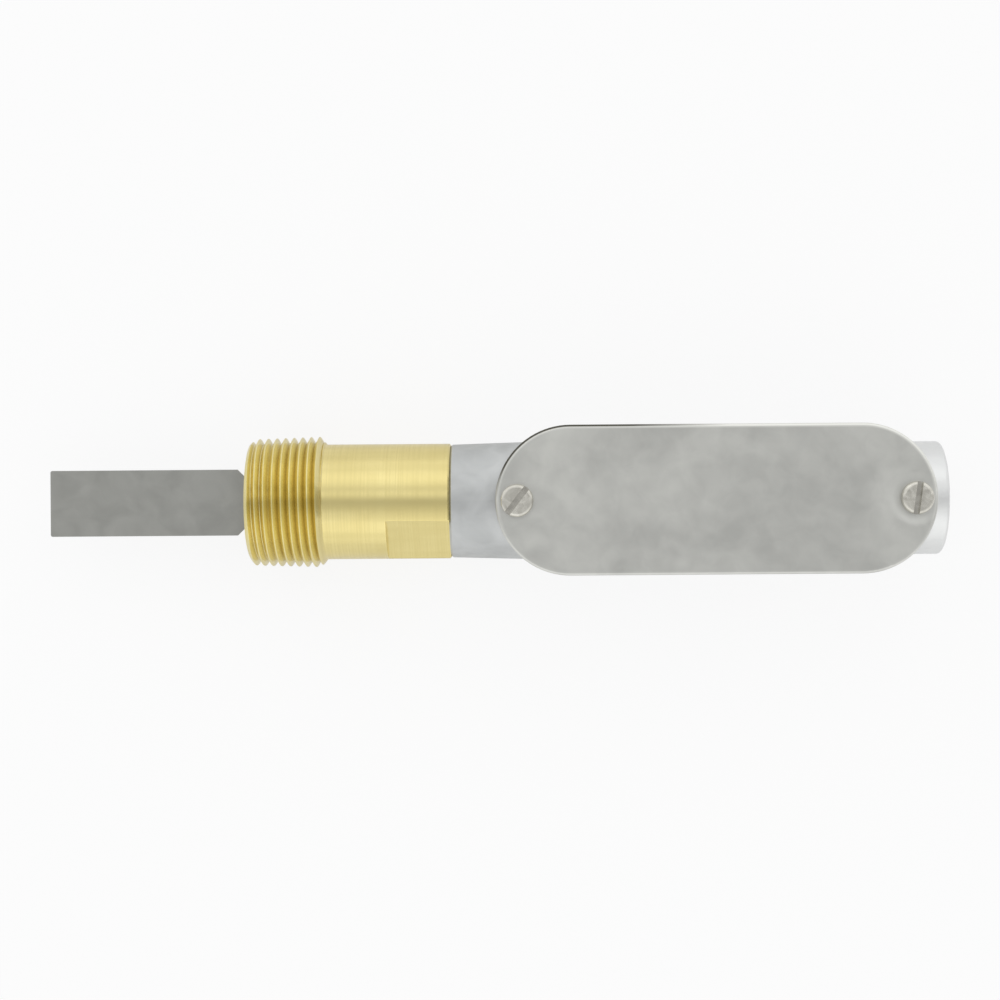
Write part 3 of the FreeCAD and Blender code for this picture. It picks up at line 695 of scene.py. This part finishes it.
camera_place = (73.5 * mm, 0.1 * mm, 490 * mm)
camera_turn = -0.42
camera_sensor = 36
camera_lens = 68.3
camera_shift = -0.037


def mixed(tree, amount, shader, white):
    """A shader, with white in its stead by an amount."""
    mix = tree.nodes.new("ShaderNodeMixShader")
    tree.links.new(amount, mix.inputs["Fac"])
    tree.links.new(shader, mix.inputs[1])
    tree.links.new(white.outputs[0], mix.inputs[2])
    return mix.outputs[0]


def white_where_seen(tree, shader):
    """Mixes in plain white where the camera looks at the floor, and a little in metal and glass."""
    path = tree.nodes.new("ShaderNodeLightPath")
    amount = None
    for ray, share in floor_white:
        added = tree.nodes.new("ShaderNodeMath")
        added.operation = "MULTIPLY_ADD"
        added.inputs[1].default_value = share
        added.inputs[2].default_value = 0
        tree.links.new(path.outputs[ray], added.inputs[0])
        if amount is not None:
            tree.links.new(amount, added.inputs[2])
        amount = added.outputs[0]
    white = tree.nodes.new("ShaderNodeEmission")
    white.inputs["Strength"].default_value = 1.0
    return mixed(tree, amount, shader, white)


def floor():
    """A pale floor under the object, which keeps a soft shadow."""
    size = floor_lengths * (high.x - low.x)
    bpy.ops.mesh.primitive_plane_add(size=size, location=(0.5 * (low.x + high.x), 0, low.z))
    plane = bpy.context.object
    plane.name = "floor"
    material = bpy.data.materials.new("pale_floor")
    material.use_nodes = True
    tree = material.node_tree
    bsdf = tree.nodes["Principled BSDF"]
    bsdf.inputs["Base Color"].default_value = (*floor_colour, 1)
    bsdf.inputs["Roughness"].default_value = 0.9
    bsdf.inputs["Specular IOR Level"].default_value = 0.1
    out = tree.nodes["Material Output"]
    tree.links.new(white_where_seen(tree, bsdf.outputs[0]), out.inputs["Surface"])
    plane.data.materials.append(material)


def studio_ramp(tree):
    """The studio's light as a colour, by how far the direction leans along Y."""
    split = tree.nodes.new("ShaderNodeSeparateXYZ")
    tree.links.new(tree.nodes.new("ShaderNodeTexCoord").outputs["Generated"], split.inputs[0])
    across = tree.nodes.new("ShaderNodeMapRange")
    across.inputs["From Min"].default_value = -1
    tree.links.new(split.outputs["Y"], across.inputs["Value"])
    ramp = tree.nodes.new("ShaderNodeValToRGB")
    tree.links.new(across.outputs["Result"], ramp.inputs["Fac"])
    stops = ramp.color_ramp.elements
    for _ in studio_bands[2:]:
        stops.new(0.5)
    for stop, (side, light) in zip(stops, studio_bands):
        stop.position = (side + 1) / 2
        stop.color = (*(light * part for part in studio_tint), 1)
    return ramp.outputs["Color"]


def world():
    """A pale studio, greyer overhead, with bright strips on both sides and one darker between them.

    The camera sees the floor's white past the floor. Metal and glass see the studio itself.
    """
    made = bpy.data.worlds.new("studio")
    made.use_nodes = True
    bpy.context.scene.world = made
    tree = made.node_tree
    background = tree.nodes["Background"]
    tree.links.new(studio_ramp(tree), background.inputs["Color"])
    background.inputs["Strength"].default_value = studio_light
    white = tree.nodes.new("ShaderNodeBackground")
    white.inputs["Color"].default_value = (*backdrop_white, 1)
    seen = tree.nodes.new("ShaderNodeLightPath").outputs["Is Camera Ray"]
    out = tree.nodes["World Output"]
    tree.links.new(mixed(tree, seen, background.outputs[0], white), out.inputs["Surface"])


def softbox(name, place, target):
    """A wide soft lamp that looks at a target."""
    light = bpy.data.lights.new(name, "AREA")
    light.shape = "RECTANGLE"
    light.size, light.size_y = softbox_size
    light.energy = softbox_power
    lamp = bpy.data.objects.new(name, light)
    bpy.context.scene.collection.objects.link(lamp)
    lamp.location = place
    lamp.rotation_euler = (Vector(target) - Vector(place)).to_track_quat("-Z", "Y").to_euler()


def camera():
    """Straight above the axis, turned so that the conduit end lies slightly higher in the view."""
    view = bpy.data.cameras.new("camera")
    view.sensor_width = camera_sensor
    view.lens = camera_lens
    view.shift_x = camera_shift
    eye = bpy.data.objects.new("camera", view)
    bpy.context.scene.collection.objects.link(eye)
    eye.location = camera_place
    eye.rotation_euler = (0, 0, math.radians(camera_turn))
    bpy.context.scene.camera = eye


bpy.context.scene.view_settings.view_transform = "Standard"
floor()
world()
middle = 0.5 * (low + high)
for name, y, z in softboxes:
    softbox(name, (middle.x, y, z), middle)
camera()
